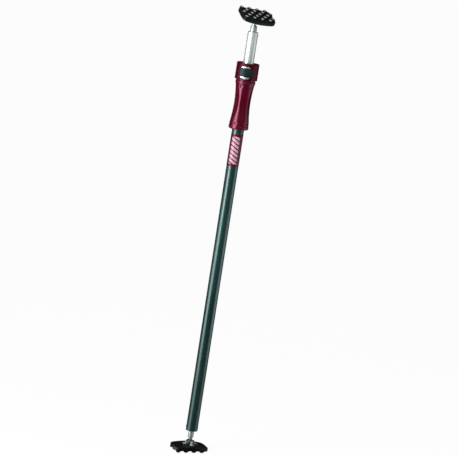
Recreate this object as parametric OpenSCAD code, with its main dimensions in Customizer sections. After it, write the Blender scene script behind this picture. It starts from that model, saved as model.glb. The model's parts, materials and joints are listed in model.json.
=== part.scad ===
// Telescopic drywall support pole.
// A steel tube slides in another, a lock in the collar holds it, and the turning grip
// lifts the collar for the last few millimetres. A studded pad swivels at each end.
// +Z runs up the pole, and the origin is under the pole's axis, on the floor.

/* [Pole] */
// Outside diameter of the outer tube
outer_d = 30; // [28:0.5:36]
// Wall of the outer tube
outer_wall = 1.2; // [1:0.1:1.6]
// Length of the outer tube
outer_len = 891.5; // [700:0.5:1400]
// Wall of the inner tube
inner_wall = 1.2; // [1:0.1:1.6]
// Length of the inner tube
inner_len = 850; // [600:1:1300]
// Length of inner tube that shows above the collar
drawn_out = 77; // [72:1:400]
// Wall of the plastic sleeve that guides the inner tube
guide_wall = 0.67; // [0.6:0.01:1]
// Length of that guide sleeve inside the outer tube
guide_len = 110; // [60:1:120]

/* [Label] */
// Bare stretch of tube between the label and the grip
label_gap = 12; // [2:0.5:60]
// Length of the label along the tube
label_len = 81; // [40:1:120]
// Thickness of the label's film
label_t = 0.25; // [0.15:0.05:0.3]

/* [Grip] */
// Depth of the outer tube's end below the grip's top
tube_drop = 12; // [10:0.5:16]
// Length of the grip
grip_len = 124; // [105:1:150]
// Diameter of the grip at its two ends
grip_end_d = 49.6; // [49.4:0.1:52]
// Diameter of the grip at its waist
grip_waist_d = 40.4; // [40:0.1:42]
// Length of the thread on the outer tube
thread_len = 72; // [66:1:76]
// Wall of the threaded sleeve
thread_wall = 1.45; // [1.3:0.05:1.6]
// Length of the nut inside the grip
nut_len = 30; // [20:1:34]

/* [Collar] */
// Diameter of the collar
collar_d = 56; // [55:0.5:62]
// Height of the collar
collar_len = 41.5; // [41:0.5:50]
// Wall of the collar
collar_wall = 2.6; // [2:0.1:3]
// Angle of the collar's window about the pole, from -Y
collar_turn = -33; // [-180:1:180]
// Diameter of the round window
window_d = 34; // [32:0.5:35]
// Rim of the collar below the window
window_rim = 1.8; // [1.4:0.1:2.4]
// Height of the release button
button_h = 22; // [16:0.5:24]
// Travel of the release button
button_travel = 4; // [3:0.1:4.2]
// Tilt of the lock plates while they grip
bite = 4; // [3:0.1:4.5]

/* [Pads] */
// Length of a pad
pad_l = 89; // [80:1:110]
// Width of a pad
pad_w = 54; // [48:1:70]
// Corner radius of a pad
pad_corner = 11; // [6:0.5:14]
// Thickness of the plate at its short edges
plate_edge_t = 5.5; // [4:0.1:7]
// Thickness of the rubber under the plate
sole_t = 3; // [2:0.1:5]
// Height of the rubber studs
stud_h = 4.8; // [3:0.1:7]
// Spacing of the studs along a row
stud_pitch = 21.7; // [20:0.1:24]
// Spacing of the rows of studs
row_pitch = 10.9; // [10:0.1:12]
// Side of a stud at its foot
stud_base = 13.5; // [11:0.1:13.8]
// Side of a stud at its flat top
stud_top = 6; // [4:0.1:8]
// Forward tilt of the head pad at rest
head_tilt = 26.5; // [0:0.5:26.5]
// Sideways tilt of the head pad at rest
head_roll = 4; // [0:0.5:6]

/* [Ball joints] */
// Radius of the ball
ball_r = 9.5; // [9:0.1:12]
// Wall of the plastic cup round the ball
cup_wall = 1.4; // [1:0.1:2]
// Radius of the foot's stem
foot_stem_r = 7; // [6:0.1:8]
// Length of the foot's stem between the ball's centre and the tube
foot_reach = 32; // [28:0.5:50]
// Radius of the head's stem
head_stem_r = 8; // [7:0.1:8.4]
// Length of the head's stem between the ball's centre and the tube
head_reach = 28; // [26:0.5:50]
// Length of the plug that holds a stem in its tube
plug_len = 40; // [30:1:60]

/* [Hidden] */
$fn = 96;

// Gaps: pieces that are fixed together, pieces that run on each other, curved soft fits
fit_gap = 0.05;
run_gap = 0.08;
ball_gap = 0.2;
face_gap = 0.3;
overrun = 1;

// Tubes
outer_r = outer_d / 2;
outer_bore = outer_r - outer_wall;
inner_r = outer_bore - fit_gap - guide_wall - run_gap;
inner_bore = inner_r - inner_wall;
guide_flange_t = 1.5;
slider_skirt = 22;
slider_plug = 25;

// Ball joint and pad, from the ball's centre
neck_r = 4.6;
neck_len = 13;
neck_depth = 4;
cup_in = ball_r + ball_gap;
cup_out = cup_in + cup_wall;
cup_mouth = 4.3;
socket_r = cup_out + ball_gap;
socket_floor = 1.9;
plate_low = socket_r + socket_floor;
pad_drop = plate_low + sole_t + stud_h;
hub_dip = 4;
hub_r = 19;
dome_fall = plate_low - plate_edge_t - hub_dip;
dome_r = ((pad_l / 2) ^ 2 - hub_r ^ 2) / (2 * dome_fall);
retainer_t = 1.2;
retainer_in = socket_r + fit_gap;
retainer_tip = 4.8;
retainer_reach = 18;
retainer_w = 9;
finger_w = 5;
retainer_count = 4;
rivet_r = 1.2;
rivet_ring = 15.4;
rivet_head_r = 2.1;
rivet_head_t = 0.8;
rivet_depth = 4;
stud_rows = 5;
studs_in_row = 4;

// Plugs and stems, from the tube's end
spigot_r = 5;
plug_floor = 8;
spigot_tail = 5;
clip_t = 1;
clip_groove = 0.9;
clip_r = 8;
clip_slot = 4;
plug_rivet_r = 1.6;
plug_rivet_head_r = 2.3;
plug_rivet_head_t = 0.6;
plug_rivet_len = 3;
plug_rivet_rise = 9;

// Heights along the pole
ball_z = pad_drop;
tube_z = ball_z + foot_reach;
tube_top = tube_z + outer_len;
grip_top = tube_top + tube_drop;
grip_z = grip_top - grip_len;
label_z = grip_z - label_gap - label_len;
collar_z = grip_top + face_gap;
collar_top = grip_top + collar_len;
stem_end_z = ball_z + clip_z(foot_reach) + spigot_tail;
lowest_inner_z = stem_end_z + face_gap + slider_skirt;
inner_top = max(collar_top + drawn_out, lowest_inner_z + inner_len);
inner_z = inner_top - inner_len;
head_z = inner_top + head_reach;

// Grip, thread and the ring that holds the grip to the collar
grip_end_r = grip_end_d / 2;
grip_waist_r = grip_waist_d / 2;
grip_neck_r = 24.1;
bead_len = 11;
bead_round = 4;
waist_share = 0.54;
waist_z = grip_z + waist_share * grip_len;
waist_half = grip_len / 2 - bead_len;
waist_fall = grip_neck_r - grip_waist_r;
waist_arc = (waist_half ^ 2 + waist_fall ^ 2) / (2 * waist_fall);
function waist_r(z) = grip_waist_r + waist_arc - sqrt(waist_arc ^ 2 - (z - waist_z) ^ 2);
flute_count = 6;
flute_ball = 180;
flute_depth = 2;
flute_turn = 15;
dimple_ball = 9;
dimple_depth = 1.1;
dimple_inset = 16;
thread_rise = 2;
thread_in = outer_r + fit_gap;
thread_r = thread_in + thread_wall;
thread_z = grip_z + thread_rise;
grip_bore = thread_r + face_gap;
nut_r = thread_r + run_gap;
nut_wall = 2;
pocket_r = nut_r + nut_wall + fit_gap;
lower_ring_len = 9.5;
lower_ring_z = grip_z + 0.5 * fit_gap;
nut_z = grip_z + lower_ring_len + fit_gap;
pocket_top = nut_z + nut_len + fit_gap;
keeper_len = 4.7;
flange_t = 2.6;
washer_t = 0.8;
neck_room = 2.4;
neck_wall = 2.1;
flange_w = 2;
keeper_step = 0.12;
keeper_inset = 0.2;
neck_in = thread_r + neck_room;
neck_out = neck_in + neck_wall;
flange_r = neck_out + flange_w;
cavity_r = flange_r + face_gap;
keeper_r = cavity_r + keeper_step;
keeper_z = grip_top - keeper_inset - keeper_len;
flange_z = keeper_z - face_gap - flange_t;
cavity_z = flange_z - 2 * fit_gap - washer_t;
key_t = 1.1;
key_w = 4.8;
key_head_w = 8;
key_head_t = 1.2;
key_lift = 0.2;
key_r = outer_r + key_lift;
key_in_nut = 5.25;
key_z = nut_z + nut_len - key_in_nut;
key_slot_in_nut = 22;
key_slot_z = nut_z + nut_len - key_slot_in_nut;
key_side_gap = 0.25;

// Collar, from its own axis, with the window at -Y
collar_r = collar_d / 2;
collar_bore = collar_r - collar_wall;
roof_t = 3.5;
base_t = 4;
panel_t = 0.6;
panel_half = 19.3;
rim_groove_t = 1.4;
rim_groove_depth = 0.7;
rim_groove_drop = 4;
window_r = window_d / 2;
window_z = collar_z + window_rim + window_r;
button_gap = 0.3;
button_r = window_r - button_gap;
button_proud = 1;
button_lap = 0.8;
button_in = collar_bore - button_lap;
lip_half = 20.4;
lip_h = 12;
lip_t = 1;
boss_r = 2.6;
boss_ring = collar_bore - boss_r - fit_gap;
boss_angles = [0, 45, 135, 180];
screw_r = 1.2;
screw_head_r = 2.2;
screw_head_t = 1.4;
screw_len = 14;
fulcrum_y = 19;
fulcrum_drop = 1.3;
fulcrum_z = window_z - fulcrum_drop;
pin_r = 1.5;
pin_len = 21;
post_w = 3.6;
post_d = 5;
post_cap = 2.2;
plate_t = 3;
plate_gap = 0.15;
plate_r = 17;
bite_room = 0.45;
plate_hole = inner_r + bite_room;
rear_tongue_w = 14;
rear_tongue = 3;
front_tongue_w = 12;
front_reach = 19;
lever = fulcrum_y + front_reach;
front_drop = lever * sin(bite);
wedge_slope = front_drop / button_travel;
wedge_w = 11;
wedge_tip = 0.8;
wedge_low = 5;
wedge_gap = 0.12;
cup_z = window_z + button_h / 2 + face_gap;
cup_t = 0.8;
bush_wall = 1.4;
bush_r = inner_r + run_gap;
cup_r = bush_r + bush_wall + fit_gap;
cup_flange_w = 2;
wire_r = 0.75;
spring_room = 2.5;
spring_r = inner_r + spring_room;
spring_turns = 2;
spring_rings = 24;
spring_low = fulcrum_z + 2 * plate_t + plate_gap + face_gap + wire_r;
spring_high = cup_z - fit_gap - wire_r;

module tube(low, high, outside, bore) {
    translate([0, 0, low]) difference() {
        cylinder(r = outside, h = high - low);
        translate([0, 0, -overrun]) cylinder(r = bore, h = high - low + 2 * overrun);
    }
}

// Places a piece of the head as its twin at the foot, turned over at the head's ball
module at_head() { translate([0, 0, head_z]) mirror([0, 0, 1]) children(); }
module at_head_tilted() {
    translate([0, 0, head_z]) rotate([head_tilt, 0, 0]) rotate([0, head_roll, 0])
        mirror([0, 0, 1]) children();
}
module at_foot() { translate([0, 0, ball_z]) children(); }
module in_collar() { rotate([0, 0, collar_turn]) children(); }

// Rounded rectangle, the outline of plate and sole
module pad_outline() {
    square([pad_l, pad_w - 2 * pad_corner], center = true);
    square([pad_l - 2 * pad_corner, pad_w], center = true);
    for (x = [-1, 1], y = [-1, 1])
        translate([x * (pad_l / 2 - pad_corner), y * (pad_w / 2 - pad_corner)]) circle(r = pad_corner);
}

// One stud: a square frustum that stands point to point in its row
module stud() {
    side = [[-stud_base, 0], [stud_base, 0], [stud_top, -stud_h], [-stud_top, -stud_h]] / 2;
    long_side = [for (p = side) [p[0], 2 * p[1]]];
    rotate([0, 0, 45]) intersection() {
        rotate([90, 0, 0]) linear_extrude(stud_base, center = true) polygon(long_side);
        rotate([90, 0, 90]) linear_extrude(stud_base, center = true) polygon(long_side);
    }
}

module sole() {
    color("#26282a") translate([0, 0, -plate_low - sole_t]) {
        linear_extrude(sole_t) pad_outline();
        intersection() {
            translate([0, 0, -stud_h]) linear_extrude(stud_h) pad_outline();
            for (row = [0 : stud_rows - 1], i = [0 : studs_in_row - 1])
                translate([
                    (i - (studs_in_row - 1) / 2 + (row % 2 == 0 ? -1 : 1) / 4) * stud_pitch,
                    (row - (stud_rows - 1) / 2) * row_pitch, 0
                ]) stud();
        }
    }
}

module around_retainers() {
    for (i = [0 : retainer_count - 1]) rotate([0, 0, i * 360 / retainer_count]) children();
}

// Pad plate: a shallow dome with the ball's socket sunk in its hub
module plate() {
    color("#1d1f20") difference() {
        intersection() {
            translate([0, 0, -plate_low]) linear_extrude(plate_low - hub_dip) pad_outline();
            translate([0, 0, -hub_dip - sqrt(dome_r ^ 2 - hub_r ^ 2)]) sphere(r = dome_r, $fn = 360);
        }
        sphere(r = socket_r);
        around_retainers() translate([rivet_ring, 0, -hub_dip - rivet_depth])
            cylinder(r = rivet_r + fit_gap, h = rivet_depth + overrun);
    }
}

// Four spring steel fingers hook over the cup and keep the ball in its socket
module retainers() {
    color("#d3d6d8") around_retainers() difference() {
        union() {
            translate([0, -retainer_w / 2, -hub_dip]) cube([retainer_reach, retainer_w, retainer_t]);
            intersection() {
                sphere(r = retainer_in + retainer_t);
                translate([0, -finger_w / 2, -hub_dip])
                    cube([retainer_reach, finger_w, hub_dip + retainer_tip]);
            }
        }
        sphere(r = retainer_in);
        translate([rivet_ring, 0, -hub_dip - overrun])
            cylinder(r = rivet_r + fit_gap, h = retainer_t + 2 * overrun);
    }
}

module retainer_rivets() {
    color("#b9bdc0") around_retainers() translate([rivet_ring, 0, -hub_dip]) {
        translate([0, 0, retainer_t]) cylinder(r = rivet_head_r, h = rivet_head_t);
        translate([0, 0, -rivet_depth]) cylinder(r = rivet_r, h = rivet_depth + retainer_t);
    }
}

// Thin plastic cup between ball and socket
module ball_cup() {
    color("#3a3d40") difference() {
        sphere(r = cup_out);
        sphere(r = cup_in);
        translate([-cup_out, -cup_out, cup_mouth]) cube([2 * cup_out, 2 * cup_out, cup_out]);
    }
}

module ball() {
    color("#202224") difference() {
        sphere(r = ball_r);
        translate([0, 0, -neck_depth]) cylinder(r = neck_r + fit_gap, h = neck_depth + ball_r);
    }
}

// Stem: neck in the ball, full shaft, and a spigot through the plug's floor
function clip_z(reach) = reach + plug_len + fit_gap;
function stem_profile(radius, spigot_z, clip_z) = [
    [0, -neck_depth + fit_gap], [neck_r, -neck_depth + fit_gap], [neck_r, neck_len],
    [radius, neck_len], [radius, spigot_z - fit_gap], [spigot_r, spigot_z - fit_gap],
    [spigot_r, clip_z - fit_gap], [spigot_r - clip_groove, clip_z - fit_gap],
    [spigot_r - clip_groove, clip_z + clip_t + fit_gap], [spigot_r, clip_z + clip_t + fit_gap],
    [spigot_r, clip_z + spigot_tail], [0, clip_z + spigot_tail]
];
module stem(radius, reach) {
    color("#c9ced0") rotate_extrude()
        polygon(stem_profile(radius, reach + plug_len - plug_floor, clip_z(reach)));
}

module stem_clip(reach) {
    color("#8f9496") translate([0, 0, clip_z(reach)]) difference() {
        cylinder(r = clip_r, h = clip_t);
        translate([0, 0, -overrun])
            cylinder(r = spigot_r - clip_groove + fit_gap, h = clip_t + 2 * overrun);
        translate([-clip_slot / 2, 0, -overrun]) cube([clip_slot, clip_r, clip_t + 2 * overrun]);
    }
}

// Plug in the end of a tube whose bore is given, for a stem of the given radius
module plug(bore, radius, reach) {
    color("#2b2d2f") translate([0, 0, reach]) difference() {
        cylinder(r = bore - fit_gap, h = plug_len);
        translate([0, 0, -overrun]) cylinder(r = radius + run_gap, h = plug_len - plug_floor + overrun);
        cylinder(r = spigot_r + run_gap, h = plug_len + overrun);
        plug_rivet_places(bore) translate([0, 0, -plug_rivet_len])
            cylinder(r = plug_rivet_r + fit_gap, h = plug_rivet_len + overrun);
    }
}

module plug_rivet_places(bore) {
    for (side = [-90, 90]) rotate([0, 0, collar_turn + side])
        translate([0, -bore, plug_rivet_rise]) rotate([90, 0, 0]) children();
}

module plug_rivets(bore, wall, reach) {
    color("#9aa0a3") translate([0, 0, reach]) plug_rivet_places(bore) {
        translate([0, 0, -plug_rivet_len + fit_gap])
            cylinder(r = plug_rivet_r, h = plug_rivet_len + wall);
        translate([0, 0, wall + fit_gap]) cylinder(r = plug_rivet_head_r, h = plug_rivet_head_t);
    }
}

module rivet_drilling(bore, wall) {
    plug_rivet_places(bore) translate([0, 0, -overrun])
        cylinder(r = plug_rivet_r + fit_gap, h = wall + 2 * overrun);
}

module foot_stem() { at_foot() stem(foot_stem_r, foot_reach); }
module foot_ball() { at_foot() ball(); }
module foot_stem_clip() { at_foot() stem_clip(foot_reach); }
module foot_cup() { at_foot() ball_cup(); }
module foot_plate() { at_foot() plate(); }
module foot_sole() { at_foot() sole(); }
module foot_retainers() { at_foot() retainers(); }
module foot_retainer_rivets() { at_foot() retainer_rivets(); }
module foot_plug() { at_foot() plug(outer_bore, foot_stem_r, foot_reach); }
module foot_plug_rivets() { at_foot() plug_rivets(outer_bore, outer_wall, foot_reach); }

module head_stem() { at_head() stem(head_stem_r, head_reach); }
module head_ball() { at_head() ball(); }
module head_stem_clip() { at_head() stem_clip(head_reach); }
module head_cup() { at_head_tilted() ball_cup(); }
module head_plate() { at_head_tilted() plate(); }
module head_sole() { at_head_tilted() sole(); }
module head_retainers() { at_head_tilted() retainers(); }
module head_retainer_rivets() { at_head_tilted() retainer_rivets(); }
module head_plug() { at_head() plug(inner_bore, head_stem_r, head_reach); }
module head_plug_rivets() { at_head() plug_rivets(inner_bore, inner_wall, head_reach); }

module outer_tube() {
    color("#54656a") difference() {
        tube(tube_z, tube_top, outer_r, outer_bore);
        translate([0, 0, tube_z]) rivet_drilling(outer_bore, outer_wall);
    }
}

module inner_tube() {
    color("#c3c9c9") difference() {
        tube(inner_z, inner_top, inner_r, inner_bore);
        translate([0, 0, inner_top]) mirror([0, 0, 1]) rivet_drilling(inner_bore, inner_wall);
    }
}

module label_sleeve() {
    color("#a3283f") tube(label_z, label_z + label_len, outer_r + fit_gap + label_t, outer_r + fit_gap);
}

module tube_guide_sleeve() {
    color("#4c5052") {
        tube(tube_top - guide_len, tube_top + guide_flange_t, outer_bore - fit_gap, inner_r + run_gap);
        tube(tube_top + fit_gap, tube_top + guide_flange_t, outer_r, outer_bore - 2 * fit_gap);
    }
}

module slider_bush() {
    color("#e4e2da") {
        translate([0, 0, inner_z - slider_skirt])
            cylinder(r = outer_bore - run_gap, h = slider_skirt - fit_gap);
        translate([0, 0, inner_z - fit_gap - overrun])
            cylinder(r = inner_bore - fit_gap, h = slider_plug + overrun);
    }
}

// Threaded sleeve on the outer tube, slotted for the key that keeps the collar from turning
module threaded_sleeve() {
    color("#8d9496") difference() {
        tube(thread_z, thread_z + thread_len, thread_r, thread_in);
        in_collar() translate([-key_w / 2 - key_side_gap, 0, key_slot_z])
            cube([key_w + 2 * key_side_gap, 2 * thread_r, thread_len]);
    }
}

module guide_key() {
    color("#9aa0a2") in_collar() {
        translate([-key_w / 2, key_r, key_z]) cube([key_w, key_t, collar_z + base_t - key_z]);
        translate([-key_head_w / 2, key_r, collar_z + base_t - key_head_t])
            cube([key_head_w, key_t, key_head_t]);
    }
}

// Half section of the grip: two beads, with one long hollow curve between them
module grip_section() {
    difference() {
        translate([0, grip_z + bead_round]) square([grip_neck_r, grip_len - 2 * bead_round]);
        translate([grip_waist_r + waist_arc, waist_z]) circle(r = waist_arc, $fn = 720);
    }
    for (low = [grip_z, grip_top - bead_len]) translate([0, low]) {
        translate([0, bead_round]) square([grip_end_r, bead_len - 2 * bead_round]);
        square([grip_end_r - bead_round, bead_len]);
        for (h = [bead_round, bead_len - bead_round])
            translate([grip_end_r - bead_round, h]) circle(r = bead_round);
    }
}

// Long shallow hollows down the grip, which end short of its beads
module flutes() {
    intersection() {
        translate([0, 0, grip_z + bead_len]) cylinder(r = grip_end_r, h = grip_len - 2 * bead_len);
        for (i = [0 : flute_count - 1]) rotate([0, 0, flute_turn + (i + 0.5) * 360 / flute_count])
            translate([0, -grip_waist_r + flute_depth - flute_ball, waist_z])
                sphere(r = flute_ball, $fn = 360);
    }
}

module grip() {
    color("#8c1f38") difference() {
        rotate_extrude() difference() {
            grip_section();
            translate([-overrun, grip_z - overrun]) square([grip_bore + overrun, grip_len + 2 * overrun]);
            translate([0, grip_z - overrun]) square([pocket_r, pocket_top - grip_z + overrun]);
            translate([0, cavity_z]) square([cavity_r, grip_len]);
            translate([0, keeper_z - fit_gap]) square([keeper_r + fit_gap, grip_len]);
        }
        flutes();
        for (i = [0 : flute_count - 1], z = [grip_z + dimple_inset, grip_top - dimple_inset])
            rotate([0, 0, flute_turn + i * 360 / flute_count])
                translate([0, -waist_r(z) + dimple_depth - dimple_ball, z]) sphere(r = dimple_ball);
    }
}

module grip_nut() {
    color("#b99a58") tube(nut_z, nut_z + nut_len, nut_r + nut_wall, nut_r);
}

module grip_lower_ring() {
    color("#2b2d2f") tube(lower_ring_z, lower_ring_z + lower_ring_len - fit_gap,
        nut_r + nut_wall, grip_bore);
}

module grip_retaining_ring() {
    color("#6d1528") tube(keeper_z, keeper_z + keeper_len, keeper_r, neck_out + face_gap);
}

module thrust_washer() {
    color("#dcdad2") tube(cavity_z + fit_gap / 2, cavity_z + fit_gap / 2 + washer_t,
        cavity_r - face_gap, neck_in);
}

// Collar base, a zinc casting: floor, neck and the flange that the grip turns round
module collar_base() {
    color("#c9cdce") in_collar() difference() {
        union() {
            translate([0, 0, collar_z]) cylinder(r = collar_bore - fit_gap, h = base_t);
            translate([0, 0, flange_z]) cylinder(r = neck_out, h = collar_z - flange_z + overrun);
            translate([0, 0, flange_z]) cylinder(r = flange_r, h = flange_t);
            for (side = [-1, 1])
                translate([side * (rear_tongue_w / 2 + face_gap + post_w / 2) - post_w / 2,
                    fulcrum_y - post_d / 2, collar_z])
                    cube([post_w, post_d, fulcrum_z + post_cap - collar_z]);
        }
        translate([0, 0, flange_z - overrun]) cylinder(r = neck_in, h = collar_z - flange_z + overrun);
        translate([0, 0, flange_z]) cylinder(r = inner_r + face_gap, h = collar_len);
        translate([-key_w / 2 - fit_gap, 0, collar_z - overrun])
            cube([key_w + 2 * fit_gap, key_r + key_t + fit_gap, base_t + 2 * overrun]);
        translate([-key_head_w / 2 - fit_gap, 0, collar_z + base_t - key_head_t - fit_gap])
            cube([key_head_w + 2 * fit_gap, key_r + key_t + fit_gap, key_head_t + overrun]);
        translate([-pin_len, fulcrum_y, fulcrum_z]) rotate([0, 90, 0])
            cylinder(r = pin_r + fit_gap, h = 2 * pin_len);
        at_bosses() {
            translate([0, 0, collar_z - overrun])
                cylinder(r = screw_r + fit_gap, h = base_t + 2 * overrun);
            translate([0, 0, collar_z - overrun])
                cylinder(r = screw_head_r + fit_gap, h = screw_head_t + fit_gap + overrun);
        }
    }
}

module at_bosses() {
    for (a = boss_angles) rotate([0, 0, a]) translate([boss_ring, 0, 0]) children();
}

// Collar shell: an upturned cup with a round window, four screw bosses and a raised front
module collar_housing() {
    color("#8c1f38") in_collar() difference() {
        union() {
            difference() {
                union() {
                    translate([0, 0, collar_z]) cylinder(r = collar_r, h = collar_top - collar_z);
                    intersection() {
                        translate([0, 0, collar_z])
                            cylinder(r = collar_r + panel_t, h = collar_top - collar_z - rim_groove_drop);
                        translate([-panel_half, -2 * collar_r, collar_z])
                            cube([2 * panel_half, 2 * collar_r, collar_len]);
                    }
                }
                translate([0, 0, collar_z - overrun])
                    cylinder(r = collar_bore, h = collar_top - collar_z - roof_t + overrun);
                translate([0, 0, collar_top - rim_groove_drop]) difference() {
                    cylinder(r = collar_r + overrun, h = rim_groove_t);
                    cylinder(r = collar_r - rim_groove_depth, h = rim_groove_t);
                }
            }
            at_bosses() translate([0, 0, collar_z + base_t + fit_gap])
                cylinder(r = boss_r, h = collar_top - collar_z - base_t - fit_gap - roof_t / 2);
        }
        translate([0, 0, collar_z]) cylinder(r = cup_r + cup_t + fit_gap, h = collar_len + overrun);
        translate([0, 0, window_z]) rotate([90, 0, 0]) cylinder(r = window_r, h = 2 * collar_r);
        at_bosses() translate([0, 0, collar_z])
            cylinder(r = screw_r + fit_gap, h = screw_len + fit_gap);
    }
}

module collar_screws() {
    color("#a7acae") in_collar() at_bosses() {
        translate([0, 0, collar_z + fit_gap]) cylinder(r = screw_head_r, h = screw_head_t);
        translate([0, 0, collar_z + fit_gap]) cylinder(r = screw_r, h = screw_len - fit_gap);
    }
}

module fulcrum_pin() {
    color("#b5babc") in_collar() translate([-pin_len / 2, fulcrum_y, fulcrum_z]) rotate([0, 90, 0])
        cylinder(r = pin_r, h = pin_len);
}

// Steel sleeve that holds the spring's upper end and lines the roof
module spring_cup() {
    color("#d3d6d8") {
        tube(cup_z, collar_top - face_gap, cup_r + cup_t, cup_r);
        tube(cup_z, cup_z + cup_t, cup_r + cup_t + cup_flange_w, cup_r);
    }
}

module top_guide_bush() {
    color("#3a3d40") tube(cup_z + cup_t, collar_top, cup_r - fit_gap, bush_r);
}

// Point on the spring's centre line, for a share of its whole wind
function spring_point(s) = [
    spring_r * cos(360 * spring_turns * s), spring_r * sin(360 * spring_turns * s),
    spring_low + (spring_high - spring_low) * s
];
wind_steps = spring_turns * spring_rings;
least_gap = min([for (i = [0 : wind_steps], j = [i + spring_rings / 2 : wind_steps])
    norm(spring_point(j / wind_steps) - spring_point(i / wind_steps))]) - 2 * wire_r;
echo(least_gap_between_coils = least_gap);

module lock_spring() {
    rings = wind_steps;
    sides = 8;
    points = [for (i = [0 : rings], j = [0 : sides - 1])
        let (p = spring_point(i / rings), around = 360 * spring_turns * i / rings,
            out = wire_r * cos(360 * j / sides), up = wire_r * sin(360 * j / sides))
        [p[0] + out * cos(around), p[1] + out * sin(around), p[2] + up]];
    walls = [for (i = [0 : rings - 1], j = [0 : sides - 1])
        let (a = i * sides + j, b = i * sides + (j + 1) % sides)
        each [[a, a + sides, b], [b, a + sides, b + sides]]];
    ends = [[for (j = [0 : sides - 1]) j], [for (j = [sides - 1 : -1 : 0]) rings * sides + j]];
    color("#c3c8ca") in_collar() polyhedron(points, concat(walls, ends));
}

// A lock plate lies level in its own frame, hinged on the fulcrum, and is tilted to bite
module lock_plate(low) {
    color("#9ea4a6") in_collar()
        translate([0, fulcrum_y, fulcrum_z]) rotate([bite, 0, 0]) difference() {
            translate([0, -fulcrum_y, low]) linear_extrude(plate_t) {
                circle(r = plate_r);
                translate([-rear_tongue_w / 2, 0]) square([rear_tongue_w, fulcrum_y + rear_tongue]);
                translate([-front_tongue_w / 2, -front_reach]) square([front_tongue_w, front_reach]);
            }
            translate([0, -fulcrum_y, low - overrun]) cylinder(r = plate_hole, h = plate_t + 2 * overrun);
            translate([-rear_tongue_w, 0, 0]) rotate([0, 90, 0])
                cylinder(r = pin_r + run_gap, h = 2 * rear_tongue_w);
        }
}
module lower_lock_plate() { lock_plate(0); }
module upper_lock_plate() { lock_plate(plate_t + plate_gap); }

// Push button: a curved front in the window, lips behind the wall, and a lifting wedge
module release_button() {
    wedge_y = -front_reach - fit_gap;
    wedge_top = fulcrum_z - front_drop - wedge_gap;
    inner_tip = wedge_y + wedge_tip;
    outer_end = -button_in - fit_gap;
    color("#141617") in_collar() union() {
        intersection() {
            translate([0, 0, collar_z]) difference() {
                cylinder(r = collar_r + button_proud, h = collar_len);
                translate([0, 0, -overrun]) cylinder(r = button_in, h = collar_len + 2 * overrun);
            }
            translate([0, 0, window_z]) rotate([90, 0, 0]) cylinder(r = button_r, h = 2 * collar_r);
            translate([-collar_r, -2 * collar_r, window_z - button_h / 2])
                cube([2 * collar_r, 2 * collar_r, button_h]);
        }
        intersection() {
            translate([0, 0, window_z - lip_h / 2]) difference() {
                cylinder(r = collar_bore - face_gap, h = lip_h);
                translate([0, 0, -overrun])
                    cylinder(r = collar_bore - face_gap - lip_t, h = lip_h + 2 * overrun);
            }
            translate([-lip_half, -2 * collar_r, collar_z]) cube([2 * lip_half, 2 * collar_r, collar_len]);
        }
        translate([-wedge_w / 2, 0, 0]) rotate([90, 0, 90]) linear_extrude(wedge_w) polygon([
            [inner_tip, window_z - wedge_low],
            [inner_tip, wedge_top - wedge_tip * wedge_slope],
            [outer_end, wedge_top + (wedge_y - outer_end) * wedge_slope],
            [outer_end, window_z - wedge_low]
        ]);
    }
}

outer_tube();
label_sleeve();
threaded_sleeve();
tube_guide_sleeve();
foot_plug();
foot_plug_rivets();
collar_housing();
collar_base();
guide_key();
spring_cup();
top_guide_bush();
fulcrum_pin();
lock_spring();
collar_screws();
grip();
grip_nut();
grip_lower_ring();
grip_retaining_ring();
thrust_washer();
release_button();
lower_lock_plate();
upper_lock_plate();
inner_tube();
slider_bush();
head_plug();
head_plug_rivets();
foot_stem();
foot_ball();
foot_stem_clip();
foot_cup();
foot_plate();
foot_sole();
foot_retainers();
foot_retainer_rivets();
head_stem();
head_ball();
head_stem_clip();
head_cup();
head_plate();
head_sole();
head_retainers();
head_retainer_rivets();
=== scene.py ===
# Telescopic drywall support pole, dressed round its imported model.
import json
from math import atan2, cos, exp, hypot, log, pi, radians, sin, sqrt

import bpy
from mathutils import Matrix, Vector


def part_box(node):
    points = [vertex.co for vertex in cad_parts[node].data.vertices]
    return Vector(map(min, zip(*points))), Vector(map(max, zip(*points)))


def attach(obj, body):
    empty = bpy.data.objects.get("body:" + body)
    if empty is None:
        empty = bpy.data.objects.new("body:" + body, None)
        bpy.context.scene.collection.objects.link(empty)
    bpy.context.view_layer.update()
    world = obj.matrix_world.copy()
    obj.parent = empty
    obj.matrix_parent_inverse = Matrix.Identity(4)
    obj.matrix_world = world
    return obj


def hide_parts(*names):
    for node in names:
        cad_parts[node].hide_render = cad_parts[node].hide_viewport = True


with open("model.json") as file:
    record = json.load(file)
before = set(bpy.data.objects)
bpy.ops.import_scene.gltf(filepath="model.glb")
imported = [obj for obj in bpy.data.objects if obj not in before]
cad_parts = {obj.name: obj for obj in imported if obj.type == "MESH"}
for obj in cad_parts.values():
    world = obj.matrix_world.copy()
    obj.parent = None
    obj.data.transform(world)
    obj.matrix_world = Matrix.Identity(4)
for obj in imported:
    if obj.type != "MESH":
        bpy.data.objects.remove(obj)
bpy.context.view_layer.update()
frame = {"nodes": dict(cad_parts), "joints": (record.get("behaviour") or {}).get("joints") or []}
nodes = frame["nodes"]

# ---- Camera ----
# It stands five metres off, a little to the left of the pole's front and above its middle, and is
# rolled so that the upright pole leans to the right.
VIEW_TURN, VIEW_RISE, POLE_LEAN = radians(-25), radians(10), radians(8.825)
VIEW_DISTANCE = 5.0
AIM_HEIGHT, AIM_ASIDE = 0.58060, 0.01553
LENS = 157.42

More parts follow.
